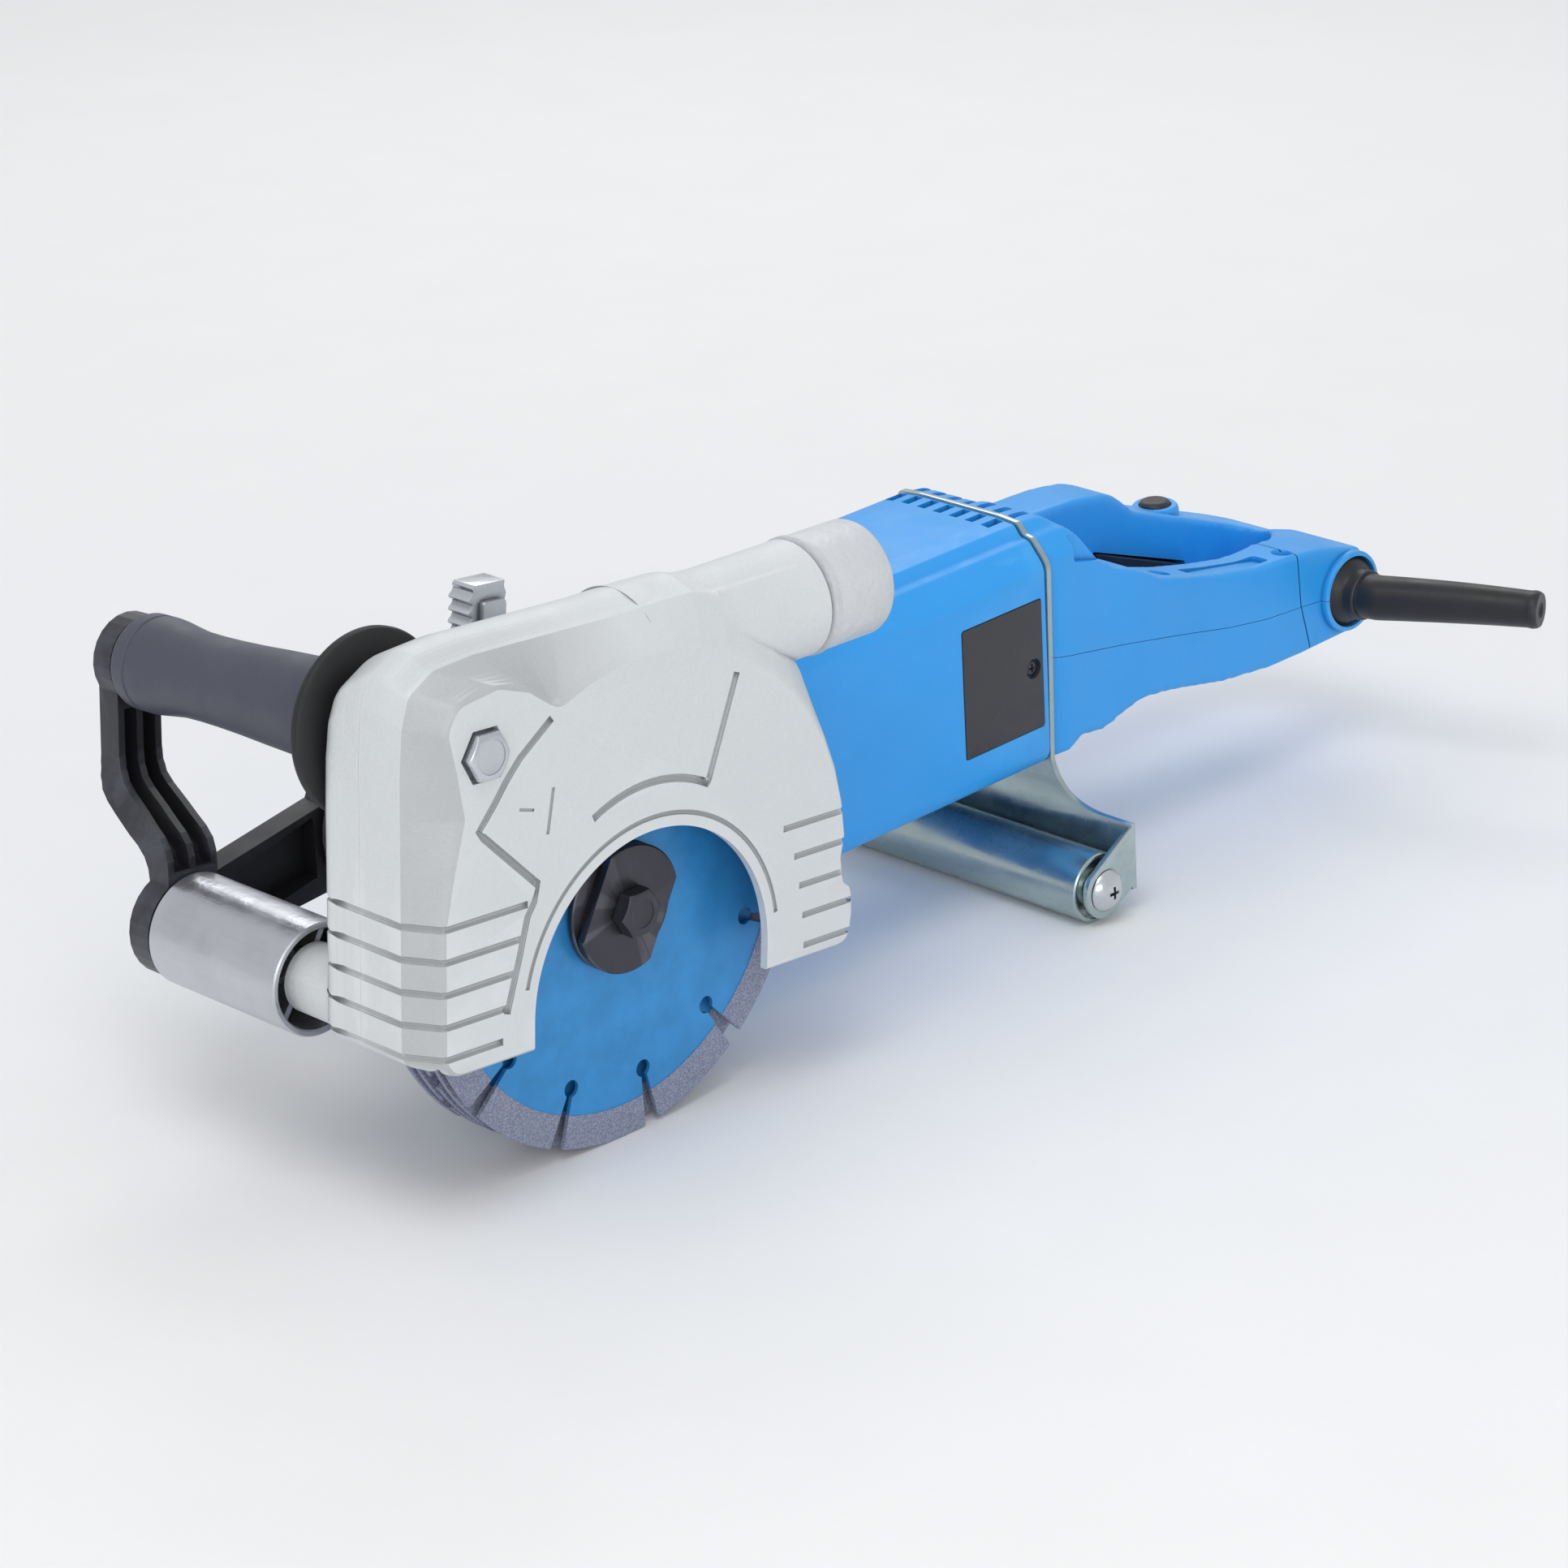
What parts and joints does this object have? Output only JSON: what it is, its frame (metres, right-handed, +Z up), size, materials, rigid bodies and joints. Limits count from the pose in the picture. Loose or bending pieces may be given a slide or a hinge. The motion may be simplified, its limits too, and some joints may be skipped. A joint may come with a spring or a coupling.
{
  "type": "wall chaser",
  "caption": "Hand-held wall chaser: diamond blades under a silver guard with dust outlet, blue motor and D-handle, front grip, front and rear rollers.",
  "frame": {"origin": "on the ground under the middle of the machine's box, machine resting on its blades and rear roller", "axes": "+Z up, +X to the rear handle, -X to the front grip and blades, -Y to the open side of the guard"},
  "size_m": [0.6408, 0.2268, 0.2191],
  "materials": {
    "silver_paint": "satin textured",
    "blue_housing": "satin",
    "black_plastic": "satin",
    "grey_plastic": "fine grain",
    "soft_rubber": "satin",
    "zinc_steel": "zinc plated",
    "bright_zinc": "bright zinc",
    "dark_steel": "blackened steel",
    "plain_steel": "ground",
    "cast_aluminium": "as cast",
    "roller_aluminium": "brushed, worn",
    "blade_paint": "gloss with grey segments",
    "copper": "copper",
    "carbon": "carbon"
  },
  "bodies": {
    "motor_unit": {"gear_housing": "cast_aluminium", "gear_cover": "cast_aluminium", "spindle_bearing": "plain_steel", "front_bearing": "plain_steel", "rear_bearing": "plain_steel", "motor_housing": "blue_housing", "brush_cover_near": "grey_plastic", "brush_cover_far": "grey_plastic", "brush_cover_screw_near": "dark_steel", "brush_cover_screw_far": "dark_steel", "stator_core": "dark_steel", "field_coils": "copper", "brush_gear": "carbon", "rear_support_plate": "zinc_steel", "rear_axle": "plain_steel", "rear_axle_screw_near": "bright_zinc", "rear_axle_screw_far": "bright_zinc", "handle_upper": "blue_housing", "handle_lower": "blue_housing", "handle_screw_1": "dark_steel", "handle_screw_2": "dark_steel", "handle_screw_3": "dark_steel", "handle_screw_4": "dark_steel", "handle_screw_5": "dark_steel", "switch_body": "black_plastic", "cable_gland": "black_plastic", "cable_guard": "black_plastic", "cord_clamp": "black_plastic", "pivot_screw": "bright_zinc"},
    "spindle": {"output_spindle": "plain_steel", "bevel_gear": "plain_steel", "inner_flange": "dark_steel", "outer_flange": "dark_steel", "blade_bolt": "dark_steel", "blade_1": "blade_paint", "blade_2": "blade_paint", "blade_3": "blade_paint", "blade_4": "blade_paint", "blade_5": "blade_paint"},
    "armature": {"armature_shaft": "plain_steel", "armature_core": "dark_steel", "commutator": "copper", "cooling_fan": "black_plastic", "bevel_pinion": "plain_steel"},
    "guard": {"guard_near_shell": "silver_paint", "guard_far_shell": "silver_paint", "hose_adapter": "silver_paint", "grip_flange": "soft_rubber", "front_grip": "soft_rubber", "grip_bolt": "bright_zinc", "front_bracket": "black_plastic", "front_roller_axle": "plain_steel", "clamp_pin": "bright_zinc", "clamp_bolt": "zinc_steel"},
    "front_roller": {"front_roller": "roller_aluminium"},
    "rear_roller": {"rear_roller": "zinc_steel"},
    "clamp_lever": {"clamp_lever": "bright_zinc"},
    "trigger": {"trigger": "black_plastic", "switch_plunger": "plain_steel"},
    "lock_button": {"lock_button": "black_plastic"}
  },
  "joints": [
    {"name": "spindle_turn", "type": "hinge", "parent": "motor_unit", "child": "spindle", "pos_m": [-0.2004, -0.05852, 0.095], "axis": [0, 1, 0], "continuous": true},
    {"name": "armature_turn", "type": "hinge", "parent": "motor_unit", "child": "armature", "pos_m": [-0.05549, 0.01748, 0.10012], "axis": [0.9994, 0, 0.0353], "continuous": true},
    {"name": "guard_swing", "type": "hinge", "parent": "motor_unit", "child": "guard", "pos_m": [-0.2004, -0.02652, 0.095], "axis": [0, 1, 0], "range_deg": [-15, 15]},
    {"name": "front_roller_turn", "type": "hinge", "parent": "guard", "child": "front_roller", "pos_m": [-0.29845, 0.02048, 0.08106], "axis": [0, 1, 0], "continuous": true},
    {"name": "rear_roller_turn", "type": "hinge", "parent": "motor_unit", "child": "rear_roller", "pos_m": [0.07019, 0.01748, 0.015], "axis": [0, 1, 0], "continuous": true},
    {"name": "clamp_lever_swing", "type": "hinge", "parent": "guard", "child": "clamp_lever", "pos_m": [-0.22137, -0.02352, 0.1444], "axis": [0, 1, 0], "range_deg": [-20, 35]},
    {"name": "trigger_squeeze", "type": "slide", "parent": "motor_unit", "child": "trigger", "axis": [0, 1, 0], "range_m": [0, 0.006], "stiffness_N_per_m": 500},
    {"name": "lock_button_press", "type": "slide", "parent": "motor_unit", "child": "lock_button", "axis": [0.0353, 0, -0.9994], "range_m": [0, 0.003], "stiffness_N_per_m": 500}
  ],
  "couplings": [
    {"joint": "armature_turn", "follows": "spindle_turn", "ratio": 3.125}
  ]
}
